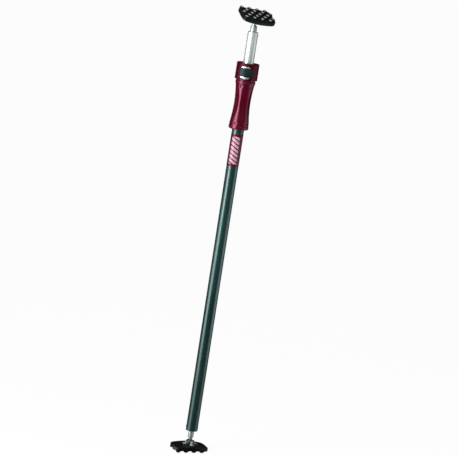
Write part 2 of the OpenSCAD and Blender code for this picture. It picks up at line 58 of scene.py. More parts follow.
level_right = Vector((cos(VIEW_TURN), sin(VIEW_TURN), 0))
look = Vector((-sin(VIEW_TURN) * cos(VIEW_RISE), cos(VIEW_TURN) * cos(VIEW_RISE), -sin(VIEW_RISE)))
level_up = level_right.cross(look)
view_right = cos(POLE_LEAN) * level_right + sin(POLE_LEAN) * level_up
view_up = cos(POLE_LEAN) * level_up - sin(POLE_LEAN) * level_right
camera = bpy.data.objects.new("camera", bpy.data.cameras.new("camera"))
camera.data.lens = LENS
camera.matrix_world = Matrix.LocRotScale(
    Vector((0, 0, AIM_HEIGHT)) + AIM_ASIDE * level_right - VIEW_DISTANCE * look,
    Matrix((view_right, view_up, -look)).transposed(), None)
scene = bpy.context.scene
scene.collection.objects.link(camera)
scene.camera = camera
scene.view_settings.view_transform = "Standard"


# ---- Studio ----
# A wide pale floor runs out past the view. Tall soft lights stand to the left and right of the
# camera, and two soft ones hang above. A dark screen and mat, which only reflections see, give
# the tubes their dark bands. The mat mirrors the lights, as a floor does.
class Value:
    """A socket in a material, so that shader maths is written as an expression."""

    def __init__(self, tree, socket):
        self.tree, self.socket = tree, socket

    def node(self, kind, settings={}, sockets={}, output=0):
        """Adds a node, with its settings first and then the values or links of its sockets."""
        made = self.tree.nodes.new(kind)
        for name, value in settings.items():
            setattr(made, name, value)
        for name, value in sockets.items():
            if isinstance(value, Value):
                self.tree.links.new(value.socket, made.inputs[name])
            else:
                made.inputs[name].default_value = value
        return Value(self.tree, made.outputs[output])

    def maths(self, operation, *values):
        return self.node("ShaderNodeMath", {"operation": operation}, dict(enumerate(values)))

    def __add__(self, other):
        return self.maths("ADD", self, other)

    def __sub__(self, other):
        return self.maths("SUBTRACT", self, other)

    def __rsub__(self, other):
        return self.maths("SUBTRACT", other, self)

    def __mul__(self, other):
        return self.maths("MULTIPLY", self, other)

    __radd__, __rmul__ = __add__, __mul__

    def mix(self, first, second):
        """Goes from the first colour to the second as this value goes from 0 to 1."""
        pair = [v if isinstance(v, Value) else (*v, 1) for v in (first, second)]
        return self.node("ShaderNodeMix", {"data_type": "RGBA"},
                         {0: self, 6: pair[0], 7: pair[1]}, output=2)

    def between(self, low, high, start=0.0, end=1.0):
        """Maps low..high to start..end, clamped."""
        return self.node("ShaderNodeMapRange", {}, {0: self, 1: low, 2: high, 3: start, 4: end})

    def noise(self, scale, detail=2.0, stretch=(1, 1, 1)):
        """Soft noise on this position, with stretch as its frequency along each axis."""
        place = self.node("ShaderNodeMapping", {}, {"Vector": self, "Scale": stretch})
        return self.node("ShaderNodeTexNoise", {},
                         {"Vector": place, "Scale": scale, "Detail": detail})

    def along(self, direction):
        """Distance of this position along a direction, from the origin."""
        return self.node("ShaderNodeVectorMath", {"operation": "DOT_PRODUCT"},
                         {0: self, 1: tuple(direction)}, output=1)


def studio_material(name, shade, glow):
    """Gives a matt surface that camera and reflections see partly as even glow."""
    material = bpy.data.materials.new(name)
    material.use_nodes = True
    tree = material.node_tree
    tree.nodes.clear()
    path = tree.nodes.new("ShaderNodeLightPath")
    seen = [Value(tree, path.outputs[f"Is {kind} Ray"])
            for kind in ("Camera", "Glossy", "Transmission")]
    share = (seen[0] + seen[1] + seen[2]) * glow
    matt = share.node("ShaderNodeBsdfDiffuse", {}, {"Color": (shade, shade, shade, 1)})
    light = share.node("ShaderNodeEmission", {}, {"Color": (1, 1, 1, 1), "Strength": 1.0})
    paper = share.node("ShaderNodeMixShader", {}, {0: share, 1: matt, 2: light})
    out = tree.nodes.new("ShaderNodeOutputMaterial")
    tree.links.new(paper.socket, out.inputs[0])
    return material


FLOOR_SIZE, FLOOR_SHADE, FLOOR_GLOW = 60.0, 0.86, 0.965
SCREEN_RADIUS, SCREEN_TOP, SCREEN_SHADE, SCREEN_SIDES = 1.0, 2.6, 0.008, 64
MAT_LIFT = 0.0004
WORLD_SHADE = 0.16
STRIP_BLUR, STRIP_LOW, STRIP_HIGH = 0.01, 0.01, 0.02
OVERHEAD_AIM = Vector((0, 0, 0.75))

bpy.ops.object.select_all(action="DESELECT")
bpy.ops.mesh.primitive_plane_add(size=FLOOR_SIZE)
floor = bpy.context.object
floor.name = "floor"
floor.data.materials.append(studio_material("floor_paper", FLOOR_SHADE, FLOOR_GLOW))

bpy.ops.mesh.primitive_cylinder_add(
    vertices=SCREEN_SIDES, radius=SCREEN_RADIUS, depth=SCREEN_TOP, end_fill_type="NOTHING",
    location=(0, 0, SCREEN_TOP / 2))
screen = bpy.context.object
screen.name = "screen"
bpy.ops.mesh.primitive_circle_add(vertices=SCREEN_SIDES, radius=SCREEN_RADIUS, fill_type="NGON",
                                  location=(0, 0, MAT_LIFT))
mat = bpy.context.object
mat.name = "mat"

# Turn to the right of the camera, height, distance, width, tallness and power of each light that
# stands. The mat mirrors the first two.
STANDING = {"low_light": (radians(-60), 0.18, 0.9, 0.62, 0.36, 1.9),
            "fill_light": (radians(90), 0.35, 0.9, 0.75, 0.70, 1.5),
            "key_light": (radians(-48), 1.06, 0.9, 0.30, 1.4, 14)}
screen_cloth = bpy.data.materials.new("screen_cloth")
screen_cloth.use_nodes = True
cloth_tree = screen_cloth.node_tree
cloth_tree.nodes.clear()
spot = Value(cloth_tree, cloth_tree.nodes.new("ShaderNodeTexCoord").outputs["Object"])
shine = None
for turn, height, distance, width, tall, power in list(STANDING.values())[:2]:
    toward = (sin(VIEW_TURN + turn), -cos(VIEW_TURN + turn), 0)
    beside = (cos(VIEW_TURN + turn), sin(VIEW_TURN + turn), 0)
    ahead, aside = spot.along(toward), spot.along(beside)
    outside = aside.maths("ABSOLUTE", aside) - ahead * (width / 2 / distance)
    strip = outside.between(-STRIP_BLUR, STRIP_BLUR, 1, 0) * ahead.between(0, STRIP_BLUR)
    strip = strip * spot.along((0, 0, 1)).between(STRIP_LOW, STRIP_HIGH, 1, 0)
    strip = strip * (power / (pi * width * tall))
    shine = strip if shine is None else shine + strip
cloth = spot.node("ShaderNodeEmission", {}, {"Strength": shine + SCREEN_SHADE})
cloth_tree.links.new(cloth.socket, cloth_tree.nodes.new("ShaderNodeOutputMaterial").inputs[0])
for hidden in (screen, mat):
    hidden.data.materials.append(screen_cloth)
    for seen_by in ("camera", "diffuse", "shadow", "transmission", "volume_scatter"):
        setattr(hidden, f"visible_{seen_by}", False)

scene.world = bpy.data.worlds.new("surround")
scene.world.use_nodes = True
surround = scene.world.node_tree.nodes["Background"]
surround.inputs["Color"].default_value = (WORLD_SHADE, WORLD_SHADE, WORLD_SHADE, 1)


def soft_light(name, turn, height, distance, width, tall, power):
    """Stands a soft light at a turn to the right of the camera, facing the pole."""
    data = bpy.data.lights.new(name, "AREA")
    data.shape, data.size, data.size_y, data.energy = "RECTANGLE", width, tall, power
    light = bpy.data.objects.new(name, data)
    around = VIEW_TURN + turn
    place = Vector((distance * sin(around), -distance * cos(around), height))
    light.location = place
    light.rotation_euler = (Vector((0, 0, height)) - place).to_track_quat("-Z", "Y").to_euler()
    scene.collection.objects.link(light)
    return light


for name, sizes in STANDING.items():
    soft_light(name, *sizes)
for name, place, size, power in (("top_light", Vector((0, 0, 2.2)), 1.6, 7),
                                 ("front_light", Vector((0.1, -1.3, 1.9)), 0.8, 8)):
    overhead = soft_light(name, 0, 1, 1, size, size, power)
    overhead.location = place
    overhead.rotation_euler = (OVERHEAD_AIM - place).to_track_quat("-Z", "Y").to_euler()


# ---- Outer tube ----
# Welded steel tube, 30 mm across with a 1.2 mm wall, in a dark slate green semi-gloss paint. Its
# ends are cut square and deburred.
def eased(corners):
    """Rounds the corners of an outline. A corner is (radius, height, ease) in metres."""
    outline = []
    for i, (radius, height, ease) in enumerate(corners):
        here = Vector((radius, height))
        if not ease:
            outline.append((radius, height))
            continue
        start, end = (here.lerp(Vector(near[:2]), min(ease / (Vector(near[:2]) - here).length, 0.5))
                      for near in (corners[i - 1], corners[(i + 1) % len(corners)]))
        for share in (0, 0.25, 0.5, 0.75, 1):
            outline.append(tuple(start.lerp(here, share).lerp(here.lerp(end, share), share)))
    return outline


def drawn(name, outline):
    """Draws a closed outline of (radius, height) points beside the pole's axis."""
    bpy.ops.object.select_all(action="DESELECT")
    bpy.ops.mesh.primitive_circle_add(vertices=len(outline), radius=0.01)
    piece = bpy.context.object
    piece.name = piece.data.name = name
    for corner, (radius, height) in zip(piece.data.vertices, outline):
        corner.co = (radius, 0, height)
    return piece


def closed_up(piece, smooth):
    """Merges a new piece's seams and poles, closes its ends, turns its faces out and smooths it."""
    bpy.ops.object.mode_set(mode="EDIT")
    bpy.ops.mesh.select_all(action="SELECT")
    bpy.ops.mesh.remove_doubles(threshold=2e-6)
    bpy.ops.mesh.dissolve_degenerate(threshold=1e-6)
    bpy.ops.mesh.select_all(action="SELECT")
    bpy.ops.mesh.fill_holes(sides=0)
    bpy.ops.mesh.select_all(action="SELECT")
    bpy.ops.mesh.delete_loose()
    bpy.ops.mesh.select_all(action="SELECT")
    bpy.ops.mesh.normals_make_consistent(inside=False)
    bpy.ops.object.mode_set(mode="OBJECT")
    bpy.ops.object.shade_smooth_by_angle(angle=radians(smooth))


def turned(name, outline, sides=128, smooth=35):
    """Spins an outline round the pole's axis, as on a lathe."""
    piece = drawn(name, outline)
    bpy.ops.object.mode_set(mode="EDIT")
    bpy.ops.mesh.select_all(action="SELECT")
    bpy.ops.mesh.spin(steps=sides, angle=2 * pi, center=(0, 0, 0), axis=(0, 0, 1))
    bpy.ops.object.mode_set(mode="OBJECT")
    closed_up(piece, smooth)
    return piece


def start_material(name, **constants):
    """Starts a material on the Principled shader. Returns it, its shader and its position value."""
    material = bpy.data.materials.new(name)
    material.use_nodes = True
    tree = material.node_tree
    shader = tree.nodes["Principled BSDF"]
    for socket, value in constants.items():
        shader.inputs[socket.replace("_", " ")].default_value = value
    place = Value(tree, tree.nodes.new("ShaderNodeTexCoord").outputs["Object"])
    return material, shader, place


def feed(shader, value, socket):
    """Links a value that changes over the surface to one of the shader's sockets."""
    value.tree.links.new(value.socket, shader.inputs[socket])


def bump(shader, height, depth, strength=1.0):
    """Raises the surface by a height that runs from 0 to 1 over the given depth."""
    feed(shader, height.node("ShaderNodeBump", {}, {
        "Height": height, "Distance": depth, "Strength": strength}), "Normal")


def dress(material, *names):
    """Gives a material to CAD nodes or pieces."""
    for name in names:
        piece = nodes.get(name) or bpy.data.objects[name]
        if not piece.material_slots:
            piece.data.materials.append(material)
        for place in piece.material_slots:
            place.material = material


TUBE_R, TUBE_BORE = 0.015, 0.0138
DEBUR_OUT, DEBUR_IN = 0.0005, 0.0003
WEAR_HIGH = 0.03
TUBE_Z, TUBE_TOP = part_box("outer_tube")[0][2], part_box("outer_tube")[1][2]
painted_tube = turned("painted_tube", eased([
    (TUBE_BORE, TUBE_Z, DEBUR_IN), (TUBE_R, TUBE_Z, DEBUR_OUT),
    (TUBE_R, TUBE_TOP, DEBUR_OUT), (TUBE_BORE, TUBE_TOP, DEBUR_IN)]))

PAINT, PAINT_LIGHT = (0.006, 0.026, 0.024), (0.010, 0.036, 0.034)
PAINT_RUB = (0.050, 0.085, 0.082)
paint, shader, place = start_material("slate_paint", Specular_IOR_Level=0.8,
                                      Specular_Tint=(0.72, 1.0, 0.97, 1))
cloud = place.noise(16, 3, (1, 1, 0.25)).between(0.35, 0.65)
streak = place.noise(300, 4, (1, 1, 0.025)).between(0.60, 0.74)
speck = place.noise(520, 3).between(0.70, 0.76)
wear_low = place.along((0, 0, 1)).between(TUBE_Z, TUBE_Z + WEAR_HIGH, 0.9, 0.0)
rub = streak * (0.30 + wear_low) + speck * 0.35
feed(shader, rub.mix(cloud.mix(PAINT, PAINT_LIGHT), PAINT_RUB), "Base Color")
feed(shader, cloud.between(0, 1, 0.27, 0.34) + rub * 0.25, "Roughness")
bump(shader, place.noise(1100, 2) + streak * -0.5, 0.00003)
dress(paint, "painted_tube", "outer_tube")
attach(painted_tube, "outer_pole")
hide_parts("outer_tube")


# ---- Plugs and their rivets ----
# A moulded plug closes the foot's end of the outer tube and another the head's end of the inner
# tube. Each holds a stem, and two steel pop rivets with domed heads go through tube and plug.
def bevelled(piece, width, segments, bend):
    """Rounds the edges of a piece that turn by more than the bend, in degrees."""
    bpy.ops.object.select_all(action="DESELECT")
    piece.select_set(True)
    bpy.context.view_layer.objects.active = piece
    ease = piece.modifiers.new("ease", "BEVEL")
    ease.width, ease.segments = width, segments
    ease.limit_method, ease.angle_limit = "ANGLE", radians(bend)
    ease.use_clamp_overlap = False
    bpy.ops.object.modifier_apply(modifier="ease")


def eased_copy(node, name, width, segments=2, bend=35, flat=0.2):
    """Copies a CAD node and rounds its sharp edges."""
    piece = bpy.data.objects.new(name, nodes[node].data.copy())
    piece.data.name = name
    scene.collection.objects.link(piece)
    bpy.ops.object.select_all(action="DESELECT")
    piece.select_set(True)
    bpy.context.view_layer.objects.active = piece
    if piece.data.has_custom_normals:
        bpy.ops.mesh.customdata_custom_splitnormals_clear()
    bpy.ops.object.mode_set(mode="EDIT")
    bpy.ops.mesh.select_all(action="SELECT")
    bpy.ops.mesh.remove_doubles(threshold=1e-6)
    bpy.ops.mesh.dissolve_limited(angle_limit=radians(flat))
    bpy.ops.object.mode_set(mode="OBJECT")
    bevelled(piece, width, segments, bend)
    bpy.ops.object.shade_smooth_by_angle(angle=radians(40))
    return piece


PLASTIC, PLASTIC_PALE = (0.030, 0.034, 0.036), (0.043, 0.048, 0.050)
plug_plastic, shader, place = start_material("plug_plastic", Specular_IOR_Level=0.4)
grain = place.noise(900, 4)
feed(shader, place.noise(60, 3).between(0.35, 0.65).mix(PLASTIC, PLASTIC_PALE), "Base Color")
feed(shader, grain.between(0.3, 0.7, 0.42, 0.52), "Roughness")
bump(shader, grain, 0.00005)
dress(plug_plastic, "foot_plug", "head_plug", "tube_guide_sleeve")

STEEL, STEEL_DULL = (0.60, 0.61, 0.62), (0.42, 0.43, 0.44)
steel, shader, place = start_material("plain_steel", Metallic=0.95)
fog = place.noise(220, 4)
feed(shader, fog.between(0.35, 0.7).mix(STEEL, STEEL_DULL), "Base Color")
feed(shader, fog.between(0.3, 0.7, 0.26, 0.42), "Roughness")
bump(shader, place.noise(2600, 3), 0.00002)
for end, body in (("foot", "outer_pole"), ("head", "inner_pole")):
    rivets = eased_copy(f"{end}_plug_rivets", f"{end}_rivet_heads", 0.00045, 3)
    dress(steel, rivets.name, f"{end}_plug_rivets")
    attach(rivets, body)
    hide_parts(f"{end}_plug_rivets")

# ---- Label ----
# A film label goes once round the tube. It is dark crimson, with plain slanted pinkish white
# stripes down its front.
LABEL_Z, LABEL_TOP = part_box("label_sleeve")[0][2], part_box("label_sleeve")[1][2]
LABEL_R, LABEL_BORE, LABEL_FRONT = 0.0153, 0.01506, radians(-31)
LABEL_EASE = 0.0001
PANEL_INSET, PANEL_REACH, PRINT_BLUR = 0.006, 0.0095, 0.0005
STRIPE_PITCH, STRIPE_SLANT = 0.0105, 0.6
wrapped_label = turned("wrapped_label", eased([
    (LABEL_BORE, LABEL_Z, 0), (LABEL_R, LABEL_Z, LABEL_EASE),
    (LABEL_R, LABEL_TOP, LABEL_EASE), (LABEL_BORE, LABEL_TOP, 0)]))
label_film, shader, place = start_material("label_film", Specular_IOR_Level=0.35,
                                           Specular_Tint=(1.0, 0.6, 0.75, 1))
front = (sin(LABEL_FRONT), -cos(LABEL_FRONT), 0)
aside = place.along((cos(LABEL_FRONT), sin(LABEL_FRONT), 0))
height = place.along((0, 0, 1))
panel_low, panel_top = LABEL_Z + PANEL_INSET, LABEL_TOP - PANEL_INSET
panel = (aside.maths("ABSOLUTE", aside).between(PANEL_REACH, PANEL_REACH + 0.0004, 1, 0)
         * height.between(panel_low, panel_low + PRINT_BLUR)
         * height.between(panel_top - PRINT_BLUR, panel_top, 1, 0)
         * place.along(front).between(0.0, PRINT_BLUR))
slant = (height + aside * STRIPE_SLANT) * (1 / STRIPE_PITCH)
across = slant - slant.maths("FLOOR", slant)
stripe = across.maths("PINGPONG", across, 0.5).between(0.15, 0.18)
scuff = place.noise(700, 4).between(0.62, 0.74)
film = place.noise(50, 3).between(0.3, 0.7).mix((0.062, 0.003, 0.011), (0.085, 0.004, 0.015))
printed = (panel * stripe * (1 - scuff * 0.5)).mix(film, (0.54, 0.33, 0.40))
feed(shader, printed, "Base Color")
feed(shader, scuff.between(0, 1, 0.30, 0.46), "Roughness")
bump(shader, place.noise(120, 2, (1, 1, 0.4)), 0.00004)
dress(label_film, "wrapped_label", "label_sleeve")
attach(wrapped_label, "outer_pole")
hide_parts("label_sleeve")

# ---- Thread on the outer tube ----
# A steel sleeve on the tube carries a rolled two-start thread of 8 mm lead, and a slot down its
# back lets the collar's key slide. The grip hides it until the collar is raised.
THREAD_Z, THREAD_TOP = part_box("threaded_sleeve")[0][2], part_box("threaded_sleeve")[1][2]
THREAD_R, THREAD_ROOT, THREAD_LEAD, THREAD_TURNS = 0.01648, 0.0157, 0.008, 8
COLLAR_TURN = radians(-33)
THREAD_BORE, THREAD_START, THREAD_STEPS = 0.01505, 0.0028, 72
RIDGE_SINK, RIDGE_ROOT_HALF, RIDGE_CREST_HALF = 0.0002, 0.0013, 0.0006
SLOT_HALF, SLOT_Z, SLOT_LONG, SLOT_DEEP = 0.00265, THREAD_Z + 0.0076, 0.2, 0.04


def cut_away(piece, cutter, operation="DIFFERENCE"):
    """Takes the cutter's shape out of a piece and deletes the cutter."""
    cut = piece.modifiers.new("cut", "BOOLEAN")
    cut.object, cut.operation, cut.solver = cutter, operation, "EXACT"
    bpy.context.view_layer.objects.active = piece
    bpy.ops.object.modifier_apply(modifier="cut")
    bpy.data.objects.remove(cutter)


def wound(piece, lead, turns, steps):
    """Winds a drawn outline round the pole's axis, rising by the lead with each turn."""
    wind = piece.modifiers.new("wind", "SCREW")
    wind.angle, wind.screw_offset, wind.iterations = 2 * pi, lead, turns
    wind.steps = wind.render_steps = steps
    bpy.ops.object.modifier_apply(modifier="wind")


def girth_of(place):
    """Distance of a position from the pole's axis."""
    flat = place.node("ShaderNodeVectorMath", {"operation": "MULTIPLY"}, {0: place, 1: (1, 1, 0)})
    return place.node("ShaderNodeVectorMath", {"operation": "LENGTH"}, {0: flat}, output=1)


def slot_cutter():
    """A long bar where the key's slot runs through the thread."""
    bpy.ops.object.select_all(action="DESELECT")
    bpy.ops.mesh.primitive_cube_add(size=1)
    bar = bpy.context.object
    bar.data.transform(Matrix.Rotation(COLLAR_TURN, 4, "Z") @ Matrix.LocRotScale(
        Vector((0, SLOT_DEEP / 2, SLOT_Z + SLOT_LONG / 2)), None,
        Vector((2 * SLOT_HALF, SLOT_DEEP, SLOT_LONG))))
    return bar


thread_body = turned("thread_body", eased([
    (THREAD_BORE, THREAD_Z, 0), (THREAD_ROOT, THREAD_Z, 0.0003),
    (THREAD_ROOT, THREAD_TOP, 0.0003), (THREAD_BORE, THREAD_TOP, 0)]))
cut_away(thread_body, slot_cutter())
thread_ridges = drawn("thread_ridges", eased([
    (THREAD_ROOT - RIDGE_SINK, -RIDGE_ROOT_HALF, 0), (THREAD_R, -RIDGE_CREST_HALF, 0.0003),
    (THREAD_R, RIDGE_CREST_HALF, 0.0003), (THREAD_ROOT - RIDGE_SINK, RIDGE_ROOT_HALF, 0)]))
wound(thread_ridges, THREAD_LEAD, THREAD_TURNS, THREAD_STEPS)
thread_ridges.data.transform(Matrix.Translation((0, 0, THREAD_Z + THREAD_START)))
closed_up(thread_ridges, 40)
bpy.ops.object.mode_set(mode="EDIT")
bpy.ops.mesh.select_all(action="SELECT")
bpy.ops.mesh.duplicate()
bpy.ops.transform.rotate(value=pi, orient_axis="Z", center_override=(0, 0, 0))
bpy.ops.object.mode_set(mode="OBJECT")
cut_away(thread_ridges, slot_cutter())

thread_steel, shader, place = start_material("thread_steel", Metallic=0.95)
worn = (girth_of(place).between(THREAD_R - 0.0003, THREAD_R)
        * place.noise(300, 3).between(0.3, 0.6))
feed(shader, worn.mix((0.20, 0.21, 0.22), (0.52, 0.53, 0.54)), "Base Color")
feed(shader, worn.between(0, 1, 0.42, 0.24), "Roughness")
bump(shader, place.noise(1800, 3), 0.00002)
dress(thread_steel, "thread_body", "thread_ridges", "threaded_sleeve")
for piece in (thread_body, thread_ridges):
    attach(piece, "outer_pole")
    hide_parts("threaded_sleeve")

# ---- Inner pole ----
# Bright zinc plated steel tube, 26 mm across, with a turned plastic slider on its lower end. The
# lock plates have left fine lengthwise rubs on its plating. A washer of the same plastic is in
# the grip.
INNER_Z, INNER_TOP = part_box("inner_tube")[0][2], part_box("inner_tube")[1][2]
INNER_R = (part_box("inner_tube")[1][0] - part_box("inner_tube")[0][0]) / 2
INNER_BORE = INNER_R - 0.0012
plated_tube = turned("plated_tube", eased([
    (INNER_BORE, INNER_Z, DEBUR_IN), (INNER_R, INNER_Z, DEBUR_OUT),
    (INNER_R, INNER_TOP, DEBUR_OUT), (INNER_BORE, INNER_TOP, DEBUR_IN)]))

ZINC, ZINC_BRIGHT, ZINC_DULL = (0.70, 0.80, 0.78), (0.82, 0.91, 0.89), (0.50, 0.59, 0.57)
tube_zinc, shader, place = start_material("tube_zinc", Metallic=0.68)
drawn_lines = place.noise(420, 4, (1, 1, 0.015))
rubbed = place.noise(150, 4, (1, 1, 0.02)).between(0.60, 0.70)
bloom = place.noise(26, 4).between(0.35, 0.7)
feed(shader, (rubbed * 0.5).mix((bloom * 0.6).mix(ZINC_BRIGHT, ZINC), ZINC_DULL), "Base Color")
feed(shader, drawn_lines.between(0.3, 0.7, 0.30, 0.40) - rubbed * 0.06, "Roughness")
bump(shader, drawn_lines, 0.00003)
dress(tube_zinc, "plated_tube", "inner_tube")
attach(plated_tube, "inner_pole")
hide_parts("inner_tube")

acetal, shader, place = start_material("acetal", Roughness=0.5)
rings = place.noise(500, 3, (0.1, 0.1, 1))
feed(shader, rings.mix((0.66, 0.63, 0.56), (0.76, 0.74, 0.68)), "Base Color")
bump(shader, rings, 0.00004)
dress(acetal, "thrust_washer", "slider_bush")

# ---- Collar base and lock ----
# The base is a zinc casting that carries the fulcrum pin, two hardened lock plates and the key. A
# coil spring under a pressed steel cup tips the plates, and a plastic bush guides the inner tube.
cast_zinc, shader, place = start_material("cast_zinc", Metallic=0.6)
skin = place.noise(420, 4)
feed(shader, skin.mix((0.66, 0.68, 0.68), (0.86, 0.88, 0.88)), "Base Color")
feed(shader, skin.between(0.3, 0.7, 0.38, 0.52), "Roughness")
bump(shader, skin, 0.00010)
dress(cast_zinc, "collar_base")
dress(steel, "guide_key", "fulcrum_pin", "collar_screws", "lower_lock_plate", "upper_lock_plate",
      "foot_stem_clip", "head_stem_clip")

bright_steel, shader, place = start_material("bright_steel", Metallic=0.75)
press = place.noise(300, 3)
feed(shader, press.mix((0.72, 0.75, 0.75), (0.88, 0.90, 0.90)), "Base Color")
feed(shader, press.between(0.3, 0.7, 0.30, 0.42), "Roughness")
bump(shader, place.noise(1500, 2), 0.00002)
dress(bright_steel, "spring_cup")

WIRE_R, SPRING_TURNS, SPRING_STEPS = 0.00075, 2, 64
SPRING_R = (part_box("lock_spring")[1][0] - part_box("lock_spring")[0][0]) / 2 - WIRE_R
SPRING_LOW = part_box("lock_spring")[0][2] + WIRE_R
SPRING_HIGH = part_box("lock_spring")[1][2] - WIRE_R
coil = drawn("coil_spring", [(SPRING_R + WIRE_R * cos(radians(a)), WIRE_R * sin(radians(a)))
                             for a in range(0, 360, 30)])
wound(coil, (SPRING_HIGH - SPRING_LOW) / SPRING_TURNS, SPRING_TURNS, SPRING_STEPS)
coil.data.transform(Matrix.Rotation(COLLAR_TURN, 4, "Z") @ Matrix.Translation((0, 0, SPRING_LOW)))
closed_up(coil, 40)
dress(bright_steel, "coil_spring", "lock_spring")
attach(coil, "collar")
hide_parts("lock_spring")

COLLAR_Z, COLLAR_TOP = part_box("collar_housing")[0][2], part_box("collar_housing")[1][2]
bush = eased_copy("top_guide_bush", "guide_bush", 0.0003)
dress(plug_plastic, "guide_bush", "top_guide_bush")
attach(bush, "collar")
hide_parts("top_guide_bush")

# ---- Collar shell ----
# Moulded in dark crimson plastic: an upturned cup with a rounded top edge over a shallow groove, a
# slightly raised front, and a round window for the button with a rolled rim.
COLLAR_R, COLLAR_BORE, ROOF_T = 0.028, 0.0254, 0.0035
ROOF_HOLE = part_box("spring_cup")[1][0] - 0.00195
PANEL_RISE, PANEL_HALF, GROOVE_DROP = 0.0006, radians(42.5), 0.004
WINDOW_R, WINDOW_Z = 0.017, COLLAR_Z + 0.0188
SHELL_SIDES, SHELL_ROWS = 240, 18
GROOVE_Z, GROOVE_TALL, GROOVE_R = COLLAR_TOP - GROOVE_DROP, 0.0014, COLLAR_R - 0.0007
WALL_LOW, WALL_TALL = COLLAR_Z + 0.0012, GROOVE_Z - COLLAR_Z - 0.0016


def window_disc(radius):
    """A disc that runs through the wall at the window, before the collar's turn."""
    bpy.ops.object.select_all(action="DESELECT")
    bpy.ops.mesh.primitive_cylinder_add(vertices=96, radius=radius, depth=0.04)
    disc = bpy.context.object
    disc.data.transform(Matrix.Translation((0, -0.035, WINDOW_Z)) @ Matrix.Rotation(pi / 2, 4, "X"))
    return disc


wall = [(COLLAR_R, WALL_LOW + WALL_TALL * i / SHELL_ROWS, 0) for i in range(SHELL_ROWS + 1)]
shell = turned("collar_shell", eased([
    (COLLAR_BORE, COLLAR_Z, 0.0003), (COLLAR_R, COLLAR_Z, 0.0009), *wall,
    (COLLAR_R, GROOVE_Z, 0.0003), (GROOVE_R, GROOVE_Z, 0.0002),
    (GROOVE_R, GROOVE_Z + GROOVE_TALL, 0.0002), (COLLAR_R, GROOVE_Z + GROOVE_TALL, 0.0003),
    (COLLAR_R, COLLAR_TOP, 0.0017), (ROOF_HOLE, COLLAR_TOP, 0.0006),
    (ROOF_HOLE, COLLAR_TOP - ROOF_T, 0), (COLLAR_BORE, COLLAR_TOP - ROOF_T, 0.0008)]),
    sides=SHELL_SIDES)
for corner in shell.data.vertices:
    x, y, z = corner.co
    girth = hypot(x, y)
    away = abs(atan2(x, -y))
    if girth > COLLAR_R - 0.0005 and z < GROOVE_Z + 0.0001 and away < PANEL_HALF:
        rise = PANEL_RISE * min(1, (PANEL_HALF - away) / radians(1.6))
        corner.co = (x * (1 + rise / girth), y * (1 + rise / girth), z)
cut_away(shell, window_disc(WINDOW_R))
shell.select_set(True)
bpy.context.view_layer.objects.active = shell
bpy.ops.object.mode_set(mode="EDIT")
bpy.ops.mesh.select_mode(type="EDGE")
bpy.ops.mesh.select_all(action="DESELECT")
bpy.ops.object.mode_set(mode="OBJECT")
for edge in shell.data.edges:
    ends = [shell.data.vertices[i].co for i in edge.vertices]
    edge.select = all(abs(hypot(e.x, e.z - WINDOW_Z) - WINDOW_R) < 2e-5 and e.y < 0
                      and hypot(e.x, e.y) > COLLAR_R - 0.0002 for e in ends)
bpy.ops.object.mode_set(mode="EDIT")
bpy.ops.mesh.bevel(offset=0.0006, segments=3, affect="EDGES")
bpy.ops.mesh.select_mode(type="VERT")
bpy.ops.object.mode_set(mode="OBJECT")
bpy.ops.object.shade_smooth_by_angle(angle=radians(35))
shell.data.transform(Matrix.Rotation(COLLAR_TURN, 4, "Z"))

# A thin black ring round the window's edge is painted shade: it darkens the collar there as shade
# would.
RING_OUT, RING_IN, RING_BACK, RING_FACE = 0.0186, 0.01685, 0.0272, 0.02895
RING_HALF, RING_ROWS = 0.0187, 24
ring_rows = [WINDOW_Z - RING_HALF + 2 * RING_HALF * i / RING_ROWS for i in range(RING_ROWS + 1)]
window_shade_ring = turned("window_shade_ring", eased([
    (RING_BACK, ring_rows[0], 0), *[(RING_FACE, z, 0) for z in ring_rows],
    (RING_BACK, ring_rows[-1], 0)]), sides=SHELL_SIDES)
cut_away(window_shade_ring, window_disc(RING_OUT), "INTERSECT")
cut_away(window_shade_ring, window_disc(RING_IN))
bevelled(window_shade_ring, 0.0003, 2, 50)
bpy.ops.object.shade_smooth_by_angle(angle=radians(35))
window_shade_ring.data.transform(Matrix.Rotation(COLLAR_TURN, 4, "Z"))
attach(window_shade_ring, "collar")

CRIMSON, CRIMSON_DEEP = (0.086, 0.0006, 0.0095), (0.056, 0.0004, 0.0062)
CRIMSON_SCUFF = (0.17, 0.022, 0.050)


def crimson_plastic(name, edge_r, shine, depth):
    """Dark crimson plastic with a fine moulded grain, scuffed paler where it is widest. Depth is
    the least share of the deeper crimson; the collar's darker copy is painted shade.
    """
    material, shader, place = start_material(name, Specular_IOR_Level=shine,
                                             Specular_Tint=(1.0, 0.42, 0.62, 1))
    grain, cloud = place.noise(1300, 3), place.noise(45, 4).between(0.35, 0.65)
    scuff = (girth_of(place).between(edge_r - 0.0006, edge_r)
             * place.noise(260, 5).between(0.50, 0.68) * 0.35)
    scratch = place.noise(240, 4, (1, 1, 0.12)).between(0.66, 0.75) * 0.22
    body = cloud.between(0, 1, depth, 1).mix(CRIMSON, CRIMSON_DEEP)
    feed(shader, (scuff + scratch).mix(body, CRIMSON_SCUFF), "Base Color")
    feed(shader, grain.between(0.3, 0.7, 0.24, 0.29) + scuff * 0.3 + cloud * 0.03, "Roughness")
    bump(shader, grain, 0.00003)
    return material


# The collar takes a darker copy of the grip's crimson as painted shade; on the grip the deeper
# crimson is only random tone.
dress(crimson_plastic("collar_crimson_shaded", COLLAR_R + PANEL_RISE, 0.22, 0.9),
      "collar_shell", "collar_housing")
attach(shell, "collar")
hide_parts("collar_housing")

